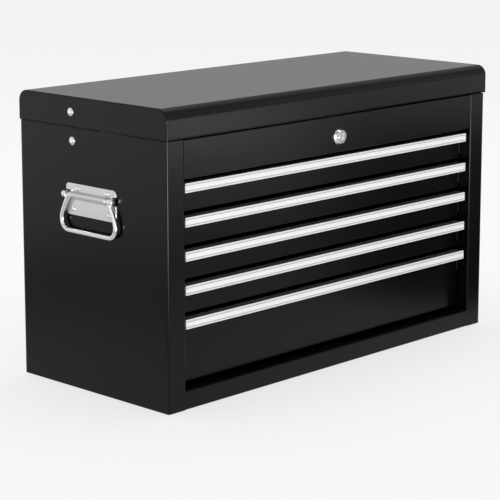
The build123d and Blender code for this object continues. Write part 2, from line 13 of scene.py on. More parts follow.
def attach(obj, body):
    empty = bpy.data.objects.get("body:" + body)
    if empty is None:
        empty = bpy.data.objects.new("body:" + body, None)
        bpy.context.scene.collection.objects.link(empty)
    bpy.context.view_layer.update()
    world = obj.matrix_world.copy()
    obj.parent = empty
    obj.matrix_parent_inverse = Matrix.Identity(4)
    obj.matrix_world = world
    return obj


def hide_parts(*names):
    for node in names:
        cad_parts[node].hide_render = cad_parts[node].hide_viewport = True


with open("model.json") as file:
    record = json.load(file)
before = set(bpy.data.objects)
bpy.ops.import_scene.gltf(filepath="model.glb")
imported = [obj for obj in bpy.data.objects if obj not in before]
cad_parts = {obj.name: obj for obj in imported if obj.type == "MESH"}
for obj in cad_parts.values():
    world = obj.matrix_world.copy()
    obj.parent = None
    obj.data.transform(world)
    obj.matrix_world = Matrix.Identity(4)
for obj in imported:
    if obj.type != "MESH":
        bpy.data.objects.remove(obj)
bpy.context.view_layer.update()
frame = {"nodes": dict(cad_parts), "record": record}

# A five-drawer sheet-steel tool chest with a hinged lid, seen from its front left.
# The chest's sizes are in millimetres and become metres when a piece is put down.
# The studio's are in metres. X runs along the width, -Y points out of the drawer
# fronts, and Z is up.

MM = 0.001

log = logging.getLogger("tool_chest")

Colour = tuple[float, float, float]
Point = tuple[float, float, float]
Flat = tuple[float, float]
Span = tuple[float, float]


class Side(Enum):
    """The two ends of the chest, as the sign of their X."""

    LEFT = -1
    RIGHT = 1

    @property
    def word(self) -> str:
        """The side as it stands in the names of nodes and bodies."""
        return self.name.lower()


class Run(Enum):
    """The direction in which a flat profile is drawn out."""

    WIDTH = 0
    DEPTH = 1
    HEIGHT = 2

    def place(self, across: float, up: float, along: float) -> Vector:
        """Put a profile's point into space.

        Args:
            across: The profile's first coordinate.
            up: The profile's second coordinate.
            along: The place on the run.

        Returns:
            The point, with the run's own axis left for the third number.
        """
        if self is Run.WIDTH:
            return Vector((along, across, up))
        if self is Run.DEPTH:
            return Vector((across, along, up))
        return Vector((across, up, along))

    def step(self, length: float) -> Vector:
        """A move along the run."""
        return Vector([length if axis == self.value else 0.0 for axis in range(3)])

    def flattened(self, point: Vector) -> Vector:
        """A point without its place on the run."""
        return Vector([0.0 if axis == self.value else point[axis] for axis in range(3)])


class Slot(Enum):
    """The record's material slots."""

    PAINT = "black_paint"
    GRIP = "bright_aluminium"
    ZINC = "zinc_plate"
    CHROME = "chrome"
    RIVET = "rivet_steel"
    STEEL = "bare_steel"


# Shader arithmetic


class Tone:
    """A shader value that takes part in plain arithmetic."""

    def __init__(self, bench: "FinishBench", socket: bpy.types.NodeSocket) -> None:
        """Hold the socket and the bench whose tree it belongs to."""
        self.bench = bench
        self.socket = socket

    def _reckon(self, operation: str, first: Any, second: Any) -> "Tone":
        """Add one Math node with two inputs."""
        return self.bench.node("ShaderNodeMath", {"operation": operation}, {0: first, 1: second})

    def __add__(self, other: Any) -> "Tone":
        """The sum of two values."""
        return self._reckon("ADD", self, other)

    def __radd__(self, other: Any) -> "Tone":
        """The sum, with the plain number on the left."""
        return self._reckon("ADD", other, self)

    def __sub__(self, other: Any) -> "Tone":
        """The difference of two values."""
        return self._reckon("SUBTRACT", self, other)

    def __rsub__(self, other: Any) -> "Tone":
        """The difference, with the plain number on the left."""
        return self._reckon("SUBTRACT", other, self)

    def __mul__(self, other: Any) -> "Tone":
        """The product of two values."""
        return self._reckon("MULTIPLY", self, other)

    def __rmul__(self, other: Any) -> "Tone":
        """The product, with the plain number on the left."""
        return self._reckon("MULTIPLY", other, self)

    def __abs__(self) -> "Tone":
        """The value without its sign."""
        return self.bench.node("ShaderNodeMath", {"operation": "ABSOLUTE"}, {0: self})

    def above(self, level: float, width: float) -> "Tone":
        """A soft mask of where the value is above a level.

        Args:
            level: The value at which the mask begins.
            width: How far above the level the mask is full.

        Returns:
            The mask, from 0 to 1.
        """
        ranged = {0: self, 1: level, 2: level + width, 3: 0.0, 4: 1.0}
        return self.bench.node("ShaderNodeMapRange", {"clamp": True}, ranged)

    def outlets(self, *names: str) -> list["Tone"]:
        """The named outputs of the node that this value comes from."""
        return [Tone(self.bench, self.socket.node.outputs[name]) for name in names]


class FinishBench:
    """A node tree and the one way of adding nodes to it."""

    def __init__(self, owner: bpy.types.Material | bpy.types.World) -> None:
        """Empty the tree of a new material or world."""
        self.owner = owner
        owner.use_nodes = True
        self.tree = owner.node_tree
        self.tree.nodes.clear()

    @classmethod
    def for_finish(cls, name: str) -> "FinishBench":
        """Open a new material of this name."""
        return cls(bpy.data.materials.new(name))

    def node(self, kind: str, settings: dict[str, Any] | None = None,
             sockets: dict[int | str, Any] | None = None, out: int | str = 0) -> Tone:
        """Add a node, set it up and join its sockets.

        Args:
            kind: The node's type.
            settings: Its properties, set before anything is joined. A ramp's stops go under "stops".
            sockets: Values or tones by the input's place or name.
            out: The output that is handed back.

        Returns:
            The chosen output as a tone.
        """
        made = self.tree.nodes.new(kind)
        for key, value in (settings or {}).items():
            if key == "stops":
                self._set_stops(made.color_ramp, value)
            else:
                setattr(made, key, value)
        for key, value in (sockets or {}).items():
            if isinstance(value, Tone):
                self.tree.links.new(value.socket, made.inputs[key])
            else:
                made.inputs[key].default_value = value
        return Tone(self, made.outputs[out] if len(made.outputs) else made.inputs[0])

    @staticmethod
    def _set_stops(ramp: bpy.types.ColorRamp, stops: Sequence[Flat]) -> None:
        """Give a ramp its grey stops.

        Args:
            ramp: A new ramp, which has two stops.
            stops: The place and grey of each.
        """
        while len(ramp.elements) < len(stops):
            ramp.elements.new(0.5)
        for element, (place, grey) in zip(ramp.elements, stops):
            element.position = place
            element.color = (grey, grey, grey, 1.0)

    def ramp(self, stops: Sequence[Flat], value: Tone) -> Tone:
        """A grey that changes with a value."""
        return self.node("ShaderNodeValToRGB", {"stops": stops}, {0: value})

    def place(self) -> Tone:
        """The piece's own coordinates in metres."""
        return self.node("ShaderNodeTexCoord", out="Object")

    def parts(self, where: Tone) -> list[Tone]:
        """The X, Y and Z of coordinates."""
        return self.node("ShaderNodeSeparateXYZ", None, {0: where}).outlets("X", "Y", "Z")

    def stretched(self, scale: Point, turn: Point = (0.0, 0.0, 0.0)) -> Tone:
        """The piece's coordinates, scaled along each axis and turned in radians about it."""
        return self.node("ShaderNodeMapping", None, {"Vector": self.place(), "Scale": scale, "Rotation": turn})

    def noise(self, where: Tone, scale: float, detail: float = 2.0, rough: float = 0.5) -> Tone:
        """Fractal noise from 0 to 1, by patches per metre, octaves and the strength of each next octave."""
        return self.node("ShaderNodeTexNoise", None,
                         {"Vector": where, "Scale": scale, "Detail": detail, "Roughness": rough})

    def blend(self, share: Any, first: Colour | Tone, second: Colour | Tone) -> Tone:
        """A mix of two colours.

        Args:
            share: How much of the second colour shows.
            first: The first colour, or a tone that carries one.
            second: The second colour, or a tone that carries one.

        Returns:
            The mixed colour.
        """
        sockets = {0: share}
        for key, colour in ((6, first), (7, second)):
            sockets[key] = colour if isinstance(colour, Tone) else (*colour, 1.0)
        return self.node("ShaderNodeMix", {"data_type": "RGBA"}, sockets, out=2)

    def bumped(self, height: Tone, depth: float, strength: float) -> Tone:
        """A normal from a height pattern, with its relief in metres and the share of it that is used."""
        return self.node("ShaderNodeBump", None, {"Height": height, "Distance": depth, "Strength": strength})

    def close(self, colour: Tone, roughness: Tone, normal: Tone, **others: Any) -> bpy.types.Material:
        """Finish the material with one Principled shader.

        Args:
            colour: The base colour.
            roughness: The roughness.
            normal: The bent normal.
            others: Other sockets by name.

        Returns:
            The finished material.
        """
        shader = self.node("ShaderNodeBsdfPrincipled", None,
                           {"Base Color": colour, "Roughness": roughness, "Normal": normal, **others})
        self.node("ShaderNodeOutputMaterial", None, {"Surface": shader})
        return self.owner


# Finishes


@dataclass(frozen=True)
class GlossPaint:
    """Gloss black powder coat with a faint orange peel and a little dust."""

    name: str = "gloss_black_paint"
    deep: Colour = (0.0014, 0.0014, 0.0016)
    worn: Colour = (0.0032, 0.0032, 0.0035)
    dust: Colour = (0.035, 0.034, 0.033)
    ior: float = 1.28
    roughness: float = 0.17
    clouds: float = 7.0
    peel: float = 520.0
    peel_depth: float = 0.00006
    peel_share: float = 0.35
    specks: float = 2600.0
    speck_edge: Span = (0.74, 0.06)
    dust_share: Flat = (0.25, 0.5)
    dust_colour_share: float = 0.5
    wiping: Point = (30.0, 30.0, 4.0)
    wiping_turn: Point = (0.3, 0.2, 0.5)
    wiped_haze: float = 0.05
    dust_haze: float = 0.12

    def material(self) -> bpy.types.Material:
        """Build the paint."""
        bench = FinishBench.for_finish(self.name)
        where = bench.place()
        cloud = bench.noise(where, self.clouds, 3.0)
        peel = bench.noise(where, self.peel, 1.5)
        specks = bench.noise(where, self.specks, 1.0).above(*self.speck_edge)
        wiped = bench.noise(bench.stretched(self.wiping, self.wiping_turn), 3.0, 4.0, 0.6)
        fine_dust = specks * (self.dust_share[0] + self.dust_share[1] * cloud)
        coat = bench.blend(cloud, self.deep, self.worn)
        colour = bench.blend(fine_dust * self.dust_colour_share, coat, self.dust)
        roughness = self.roughness + self.wiped_haze * wiped + self.dust_haze * fine_dust
        normal = bench.bumped(peel, self.peel_depth, self.peel_share)
        return bench.close(colour, roughness, normal, IOR=self.ior)


@dataclass(frozen=True)
class AnodisedGrip:
    """Bright anodised aluminium with lengthwise extrusion lines; every face behind its front, its top and the bottoms
    of its grooves, is smoother and more metallic and carries painted shade.
    """

    name: str = "bright_anodised_grip"
    light: Colour = (0.99, 0.99, 0.99)
    shade: Colour = (0.92, 0.92, 0.93)
    # Painted shade: the darker colour of the faces behind the grip's front.
    bare: Colour = (0.36, 0.36, 0.37)
    metal: float = 0.12
    shaded_metal: float = 0.8
    roughness: float = 0.42
    shaded_polish: float = 0.2
    painted_shade_edge: Span = (-0.1272, 0.0006)
    drawing: Point = (3.0, 900.0, 900.0)
    clouds: float = 16.0
    nicks: float = 240.0
    nick_edge: Span = (0.72, 0.08)
    shade_shares: Point = (0.55, 0.3, 0.3)
    haze_shares: Point = (0.12, 0.05, 0.1)
    line_depth: float = 0.00003
    line_share: float = 0.4

    def material(self) -> bpy.types.Material:
        """Build the grip's metal."""
        bench = FinishBench.for_finish(self.name)
        lines = bench.noise(bench.stretched(self.drawing), 2.0, 3.0, 0.6)
        cloud = bench.noise(bench.place(), self.clouds, 3.0)
        nicks = bench.noise(bench.place(), self.nicks, 2.0).above(*self.nick_edge)
        drawn, clouded, nicked = self.shade_shares
        colour = bench.blend(drawn * lines + clouded * cloud + nicked * nicks, self.light, self.shade)
        # Painted shade: the faces behind the front, the top and the groove bottoms, turn darker, smoother and more
        # metallic.
        painted_shade_mask = bench.parts(bench.place())[1].above(*self.painted_shade_edge)
        colour = bench.blend(painted_shade_mask, colour, self.bare)
        drawn, clouded, nicked = self.haze_shares
        roughness = self.roughness + drawn * lines - clouded * cloud + nicked * nicks - self.shaded_polish * painted_shade_mask
        normal = bench.bumped(lines, self.line_depth, self.line_share)
        return bench.close(colour, roughness, normal,
                           Metallic=self.metal + (self.shaded_metal - self.metal) * painted_shade_mask)


@dataclass(frozen=True)
class PlatedMetal:
    """A plated or polished metal with a soft cloud, wiping marks and a few pits."""

    name: str
    light: Colour
    shade: Colour
    roughness: float
    patches: float
    stretch: Point = (1.0, 1.0, 1.0)
    relief: float = 0.00004
    metal: float = 1.0
    grain: float = 700.0
    pits: float = 900.0
    pit_edge: Span = (0.7, 0.08)
    shade_shares: Point = (0.6, 0.25, 0.4)
    cloud_haze: float = 0.1
    pit_haze: float = 0.15
    pit_depth: float = 0.5
    relief_share: float = 0.3

    def material(self) -> bpy.types.Material:
        """Build the metal."""
        bench = FinishBench.for_finish(self.name)
        where = bench.stretched(self.stretch)
        cloud = bench.noise(bench.place(), self.patches, 4.0, 0.6)
        grain = bench.noise(where, self.grain, 3.0, 0.6)
        pits = bench.noise(bench.place(), self.pits, 2.0).above(*self.pit_edge)
        clouded, grained, pitted = self.shade_shares
        colour = bench.blend(clouded * cloud + grained * grain + pitted * pits, self.light, self.shade)
        roughness = self.roughness + self.cloud_haze * cloud * grain + self.pit_haze * pits
        normal = bench.bumped(grain - self.pit_depth * pits, self.relief, self.relief_share)
        return bench.close(colour, roughness, normal, Metallic=self.metal)


class Finishes:
    """One material for each finish, made once."""

    def __init__(self) -> None:
        """Build every finish of the chest."""
        recipes = {
            Slot.PAINT: GlossPaint(),
            Slot.GRIP: AnodisedGrip(),
            Slot.ZINC: PlatedMetal("bright_zinc_plate", (0.72, 0.72, 0.73), (0.56, 0.56, 0.58), 0.22, 60.0,
                                   metal=0.85),
            Slot.CHROME: PlatedMetal("polished_chrome", (0.86, 0.86, 0.87), (0.76, 0.76, 0.78), 0.10, 40.0,
                                     relief=0.00001),
            Slot.RIVET: PlatedMetal("plated_rivet_steel", (0.90, 0.90, 0.91), (0.74, 0.74, 0.76), 0.20, 120.0),
            Slot.STEEL: PlatedMetal("zinc_plated_sheet_steel", (0.58, 0.59, 0.61), (0.43, 0.44, 0.46), 0.38,
                                    30.0, stretch=(1.0, 0.06, 1.0)),
        }
        self._by_slot = {slot: recipe.material() for slot, recipe in recipes.items()}

    def of(self, slot: Slot) -> bpy.types.Material:
        """The material that stands for a slot of the record."""
        return self._by_slot[slot]

    def dress_nodes(self) -> None:
        """Give every CAD node the finish of its slot."""
        slots = {part["node"]: part["material_slot"] for part in frame["record"]["subparts"]}
        for name, node in frame["nodes"].items():
            material = self.of(Slot(slots[name]))
            if not node.material_slots:
                node.data.materials.append(material)
            for holder in node.material_slots:
                holder.material = material


# Metalwork


def move_fresh(bm: bmesh.types.BMesh, drawn: Sequence[Any], move: Sequence[float]) -> None:
    """Move the vertices among what an extrusion has just drawn."""
    bmesh.ops.translate(bm, vec=move, verts=[item for item in drawn if isinstance(item, bmesh.types.BMVert)])


class Blank:
    """A bmesh that is bent, rounded and joined like a blank on a bench."""

    SHARP = math.radians(60.0)
    SMOOTH = math.radians(50.0)
    FLAT = math.radians(0.5)
    COPY_GAP = 0.001
    SEAM_GAP = 0.0005
    SCORE_GAP = 0.0001

    def __init__(self, bm: bmesh.types.BMesh | None = None) -> None:
        """Start with an empty mesh, or take one over."""
        self.bm = bmesh.new() if bm is None else bm

    @classmethod
    def bent_sheet(cls, path: Sequence[Flat], bends: Sequence[float], thickness: float,
                   run: Run, span: Span, segments: int = 5, edge: float = 0.22) -> "Blank":
        """Draw a bent strip of sheet from its outer profile.

        Args:
            path: The outer profile, with its material on the left of the way it runs.
            bends: The outer radius at each inner point of the path.
            thickness: The sheet's thickness.
            run: The axis along which the profile is drawn out.
            span: Where the strip begins and ends on that axis.
            segments: Facets in each bend.
            edge: How far the cut edges are broken.

        Returns:
            The closed sheet.
        """
        blank = cls()
        bm = blank.bm
        corners = blank._open_line([run.place(a, b, span[0]) for a, b in path])
        blank._round_corners(corners[1:-1], bends, segments)
        drawn = bmesh.ops.extrude_edge_only(bm, edges=bm.edges[:])["geom"]
        move_fresh(bm, drawn, run.step(span[1] - span[0]))
        bmesh.ops.recalc_face_normals(bm, faces=bm.faces[:])
        blank._face_away_from_left(path, run)
        bmesh.ops.solidify(bm, geom=bm.faces[:], thickness=thickness)
        return blank.break_edges(edge)

    @classmethod
    def plate(cls, outline: Sequence[Flat], rounds: Sequence[float], thickness: float,
              run: Run, start: float, segments: int = 8) -> "Blank":
        """Cut a flat plate from its outline.

        Args:
            outline: The corners in order.
            rounds: The radius at each corner, 0 for a sharp one.
            thickness: How far the plate is drawn out, negative to go down the axis.
            run: The axis that the plate faces.
            start: Where the outline lies on that axis.
            segments: Facets in each rounded corner.

        Returns:
            The closed plate, its edges still sharp.
        """
        blank = cls()
        bm = blank.bm
        corners = [bm.verts.new(run.place(a, b, start)) for a, b in outline]
        bm.faces.new(corners)
        blank._round_corners(corners, rounds, segments)
        drawn = bmesh.ops.extrude_face_region(bm, geom=bm.faces[:])["geom"]
        move_fresh(bm, drawn, run.step(thickness))
        bmesh.ops.recalc_face_normals(bm, faces=bm.faces[:])
        return blank

    @classmethod
    def turned(cls, profile: Sequence[Flat], rounds: Sequence[float], centre: Point, axis: Point,
               steps: int = 32) -> "Blank":
        """Turn a profile about an axis, as on a lathe.

        Args:
            profile: Radius and height of each point, from the foot to the middle of the top.
            rounds: The radius at each inner point, 0 for a sharp one.
            centre: Where height 0 lies.
            axis: The direction of the heights.
            steps: Facets round the turn.

        Returns:
            The closed solid.
        """
        blank = cls()
        bm = blank.bm
        corners = blank._open_line([(radius, 0.0, height) for radius, height in profile])
        blank._round_corners(corners[1:-1], rounds, 3)
        bmesh.ops.spin(bm, geom=bm.verts[:] + bm.edges[:], cent=(0, 0, 0), axis=(0, 0, 1), angle=math.tau,
                       steps=steps, use_merge=True)
        bmesh.ops.remove_doubles(bm, verts=bm.verts[:], dist=cls.SEAM_GAP)
        bmesh.ops.holes_fill(bm, edges=[edge for edge in bm.edges if edge.is_boundary], sides=0)
        bmesh.ops.recalc_face_normals(bm, faces=bm.faces[:])
        turn = Vector(axis).to_track_quat("Z", "Y").to_matrix().to_4x4()
        bmesh.ops.transform(bm, matrix=Matrix.Translation(centre) @ turn, verts=bm.verts[:])
        return blank

    @classmethod
    def copied(cls, node: str) -> "Blank":
        """Take a node's own shape, with its loose facets joined.

        Args:
            node: The CAD node.

        Returns:
            Its shape in millimetres.
        """
        blank = cls()
        bm = blank.bm
        bm.from_mesh(frame["nodes"][node].data)
        bmesh.ops.scale(bm, vec=(1 / MM, 1 / MM, 1 / MM), verts=bm.verts[:])
        bmesh.ops.remove_doubles(bm, verts=bm.verts[:], dist=cls.COPY_GAP)
        bmesh.ops.dissolve_limit(bm, angle_limit=cls.FLAT, verts=bm.verts[:], edges=bm.edges[:],
                                 delimit={"NORMAL"})
        bmesh.ops.recalc_face_normals(bm, faces=bm.faces[:])
        return blank

    def _open_line(self, points: Sequence[Sequence[float]]) -> list[bmesh.types.BMVert]:
        """Join points into an open line.

        Args:
            points: The points in order.

        Returns:
            Their vertices.
        """
        corners = [self.bm.verts.new(point) for point in points]
        for pair in zip(corners, corners[1:]):
            self.bm.edges.new(pair)
        return corners

    def _round_corners(self, corners: Sequence[bmesh.types.BMVert], rounds: Sequence[float],
                       segments: int) -> None:
        """Round corners of a flat line or outline.

        Args:
            corners: Their vertices.
            rounds: The radius at each, 0 for a sharp one.
            segments: Facets in each.
        """
        for corner, radius in zip(corners, rounds):
            if radius:
                bmesh.ops.bevel(self.bm, geom=[corner], offset=radius, offset_type="OFFSET", segments=segments,
                                profile=0.5, affect="VERTICES", clamp_overlap=False, material=-1)

    def _face_away_from_left(self, path: Sequence[Flat], run: Run) -> None:
        """Turn the open strip so that its faces look away from the material's side.

        Args:
            path: The profile that the strip was drawn from.
            run: The axis along which it was drawn out.
        """
        (ax, ay), (bx, by) = path[0], path[1]
        outward = run.place(by - ay, ax - bx, 0.0)
        middle = run.place((ax + bx) / 2, (ay + by) / 2, 0.0)
        nearest = min(self.bm.faces, key=lambda face: (run.flattened(face.calc_center_median()) - middle).length)
        if nearest.normal.dot(outward) < 0:
            bmesh.ops.reverse_faces(self.bm, faces=self.bm.faces[:])

    def break_edges(self, offset: float, segments: int = 2, beyond: float = -math.inf) -> "Blank":
        """Bevel the sharp edges.

        Args:
            offset: The bevel's width from each edge.
            segments: Facets across it.
            beyond: Only edges that lie wholly past this X are taken.

        Returns:
            This blank.
        """
        sharp = [edge for edge in self.bm.edges if edge.is_manifold and edge.calc_face_angle(0.0) > self.SHARP
                 and all(vert.co.x > beyond for vert in edge.verts)]
        bmesh.ops.bevel(self.bm, geom=sharp, offset=offset, offset_type="OFFSET", segments=segments,
                        profile=0.5, affect="EDGES", clamp_overlap=True, material=-1)
        return self

    def score(self, height: float) -> None:
        """Score the mesh at a height without taking anything away."""
        bmesh.ops.bisect_plane(self.bm, geom=self.bm.verts[:] + self.bm.edges[:] + self.bm.faces[:],
                               plane_co=(0.0, 0.0, height), plane_no=(0.0, 0.0, 1.0), dist=self.SCORE_GAP)

    def sink(self, chosen: Callable[[bmesh.types.BMFace], bool], move: Point) -> None:
        """Push a group of faces in, with walls round them.

        Args:
            chosen: Which faces go.
            move: How far, and where to.
        """
        faces = [face for face in self.bm.faces if chosen(face)]
        drawn = bmesh.ops.extrude_face_region(self.bm, geom=faces)["geom"]
        bmesh.ops.delete(self.bm, geom=faces, context="FACES")
        move_fresh(self.bm, drawn, move)

    def add(self, other: "Blank") -> "Blank":
        """Lay another blank's mesh beside this one.

        Args:
            other: The other blank, which is used up.

        Returns:
            This blank.
        """
        carried = bpy.data.meshes.new("carried")
        other.bm.to_mesh(carried)
        other.bm.free()
        self.bm.from_mesh(carried)
        bpy.data.meshes.remove(carried)
        return self

    def mirrored(self, side: Side, made_for: Side = Side.RIGHT) -> "Blank":
        """Turn a shape made for one side into the side asked for.

        Args:
            side: The side that it goes on.
            made_for: The side that it was drawn for.

        Returns:
            This blank.
        """
        if side is not made_for:
            bmesh.ops.scale(self.bm, vec=(-1.0, 1.0, 1.0), verts=self.bm.verts[:])
            bmesh.ops.reverse_faces(self.bm, faces=self.bm.faces[:])
        return self

    def tilt(self, degrees: float, centre: Point) -> "Blank":
        """Turn the shape about a line along the width.

        Args:
            degrees: How far.
            centre: A point of the line.

        Returns:
            This blank.
        """
        bmesh.ops.rotate(self.bm, cent=centre, matrix=Matrix.Rotation(math.radians(degrees), 3, "X"),
                         verts=self.bm.verts[:])
        return self


class WireBender:
    """A round wire that is drawn out straight and bent in one plane."""

    FACETS = 20
    BEND_STEP = 7.5

    def __init__(self, start: Point, heading: Point, plane: Point, radius: float) -> None:
        """Clamp the wire's end.

        Args:
            start: The middle of the end.
            heading: The direction in which the wire leaves.
            plane: The normal of the plane that it is bent in.
            radius: The wire's radius.
        """
        self.bm = bmesh.new()
        self.tip = Vector(start)
        self.heading = Vector(heading).normalized()
        self.plane = Vector(plane).normalized()
        turn = self.heading.to_track_quat("Z", "Y").to_matrix().to_4x4()
        bmesh.ops.create_circle(self.bm, cap_ends=True, segments=self.FACETS, radius=radius,
                                matrix=Matrix.Translation(self.tip) @ turn)
        self.front = self.bm.faces[:]

    def straight(self, length: float) -> "WireBender":
        """Draw the wire out straight.

        Args:
            length: How far.

        Returns:
            This wire.
        """
        move = self.heading * length
        drawn = bmesh.ops.extrude_face_region(self.bm, geom=self.front)["geom"]
        self._carry(drawn)
        move_fresh(self.bm, drawn, move)
        self.tip = self.tip + move
        return self

    def bend(self, degrees: float, radius: float) -> "WireBender":
        """Bend the wire about a centre beside it.

        Args:
            degrees: How far it turns about the plane's normal.
            radius: The bend's radius at the wire's middle.

        Returns:
            This wire.
        """
        centre = self.tip + self.plane.cross(self.heading) * radius
        steps = max(3, round(degrees / self.BEND_STEP))
        turned = bmesh.ops.spin(self.bm, geom=self.front, cent=centre, axis=self.plane,
                                angle=math.radians(degrees), steps=steps, use_merge=False)["geom_last"]
        self._carry(turned)
        whole = Matrix.Rotation(math.radians(degrees), 3, self.plane)
        self.tip = centre + whole @ (self.tip - centre)
        self.heading = whole @ self.heading
        return self

    def _carry(self, geometry: Sequence[Any]) -> None:
        """Take the new front face, and drop the old one where it lies inside the wire.

        Args:
            geometry: What was drawn last.
        """
        fresh = [item for item in geometry if isinstance(item, bmesh.types.BMFace)]
        stale = [face for face in self.front if face.is_valid and face not in fresh]
        if len(self.bm.faces) > 2:
            bmesh.ops.delete(self.bm, geom=[face for face in stale if self._is_inside(face)], context="FACES_ONLY")
        self.front = fresh

    @staticmethod
    def _is_inside(face: bmesh.types.BMFace) -> bool:
        """Whether walls on both sides already meet this face."""
        return all(len(edge.link_faces) > 2 for edge in face.edges)

    def finished(self) -> Blank:
        """Hand the wire over as a blank."""
        bmesh.ops.recalc_face_normals(self.bm, faces=self.bm.faces[:])
        return Blank(self.bm)


# The chest's sub-assemblies


@dataclass
class SubAssembly:
    """A group of the chest's pieces, with the finishes that they take."""

    finishes: Finishes

    def put(self, blank: Blank, name: str, body: str, node: str, slot: Slot = Slot.PAINT) -> None:
        """Make a blank a finished piece of the scene.

        Args:
            blank: The shape, which is used up.
            name: The piece's name.
            body: The body that it rides on.
            node: The CAD node that it stands for.
            slot: The record's slot for its material.
        """
        bmesh.ops.scale(blank.bm, vec=(MM, MM, MM), verts=blank.bm.verts[:])
        for face in blank.bm.faces:
            face.smooth = True
        for edge in blank.bm.edges:
            edge.smooth = edge.calc_face_angle(0.0) < Blank.SMOOTH
        mesh = bpy.data.meshes.new(name)
        blank.bm.to_mesh(mesh)
        blank.bm.free()
        mesh.materials.append(self.finishes.of(slot))
        piece = bpy.data.objects.new(name, mesh)
        bpy.context.scene.collection.objects.link(piece)
        piece.modifiers.new("flat_faces", "WEIGHTED_NORMAL").keep_sharp = True
        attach(piece, body)
        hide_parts(node)
        log.info("%s rides on %s, %d faces", name, body, len(mesh.polygons))

    def keep(self, node: str, name: str, body: str, slot: Slot = Slot.PAINT, edge: float = 0.2) -> None:
        """Put down a node's own shape with its edges broken."""
        self.put(Blank.copied(node).break_edges(edge), name, body, node, slot)


@dataclass
class CaseShell(SubAssembly):
    """The welded case: two sides with stiles and jambs, the rails across the front, back and floor."""

    half_width: float = 300.0
    front: float = -132.0
    back: float = 132.0
    height: float = 325.0
    sheet: float = 1.0
    corner_bend: float = 2.0
    flange_bend: float = 1.5
    opening_half: float = 272.0
    drawer_plane: float = -114.0
    back_flange: float = 12.0
    rail_height: float = 22.5
    rail_lap: float = 1.75
    rail_edge: float = 0.12
    panel_bottom: float = 278.0
    panel_lap: float = -0.2
    panel_edge: float = 0.45
    back_edge: float = 0.25
    liner_flange: float = 10.0
    liner_lead: float = 12.0
    liner_gap: float = 4.0

    def build(self) -> None:
        """Make every visible sheet of the case."""
        for side in Side:
            self.side_sheet(side)
            self.liner(side)
        self.bottom_rail()
        self.lock_panel()
        self.back_panel()
        for node, name in (("case_floor", "floor_sheet"), ("till_floor", "till_floor_sheet")):
            self.keep(node, name, "case")

    def side_sheet(self, side: Side) -> None:
        """Bend one side with its back flange, front stile and jamb.

        Args:
            side: The side that it goes on.
        """
        rear = self.back - self.sheet
        path = [(self.back_flange - self.half_width, rear), (-self.half_width, rear),
                (-self.half_width, self.front), (-self.opening_half, self.front),
                (-self.opening_half, self.drawer_plane)]
        wall = Blank.bent_sheet(path, [self.corner_bend] * 3, self.sheet, Run.HEIGHT, (0.0, self.height), segments=6)
        self.put(wall.mirrored(side, Side.LEFT), f"{side.word}_side_sheet", "case", f"case_{side.word}_side")

    def liner(self, side: Side) -> None:
        """Bend the inner wall that carries the drawer rails.

        Args:
            side: The side that it goes on.
        """
        face = self.opening_half + self.sheet
        flange = face + self.liner_flange
        path = [(-flange, self.sheet), (-face, self.sheet), (-face, self.panel_bottom), (-flange, self.panel_bottom)]
        wall = Blank.bent_sheet(path, [self.flange_bend] * 2, self.sheet, Run.DEPTH,
                                (self.drawer_plane - self.liner_lead, self.back - self.liner_gap))
        self.put(wall.mirrored(side, Side.LEFT), f"{side.word}_liner_sheet", "case", f"{side.word}_inner_liner")

    def bottom_rail(self) -> None:
        """Bend the rail under the lowest drawer with its ledge."""
        ledge = self.drawer_plane + self.sheet
        path = [(ledge, self.rail_height - self.back_flange), (ledge, self.rail_height),
                (self.front, self.rail_height), (self.front, 0.0), (ledge, 0.0)]
        reach = self.opening_half + self.rail_lap
        rail = Blank.bent_sheet(path, [self.flange_bend] * 3, self.sheet, Run.WIDTH, (-reach, reach),
                                edge=self.rail_edge)
        self.put(rail, "bottom_rail_sheet", "case", "front_bottom_rail")

    def lock_panel(self) -> None:
        """Bend the fixed panel that holds the lock."""
        path = [(self.front + self.back_flange, self.height), (self.front, self.height),
                (self.front, self.panel_bottom), (self.drawer_plane, self.panel_bottom)]
        reach = self.opening_half + self.panel_lap
        panel = Blank.bent_sheet(path, [self.flange_bend] * 2, self.sheet, Run.WIDTH, (-reach, reach),
                                 edge=self.panel_edge)
        self.put(panel, "lock_panel_sheet", "case", "lock_panel")

    def back_panel(self) -> None:
        """Cut the flat back between the two sides."""
        inside = self.half_width - self.sheet
        outline = [(-inside, 0.0), (inside, 0.0), (inside, self.height), (-inside, self.height)]
        panel = Blank.plate(outline, [0.0] * 4, -self.sheet, Run.DEPTH, self.back)
        self.put(panel.break_edges(self.back_edge), "back_sheet", "case", "case_back_panel")


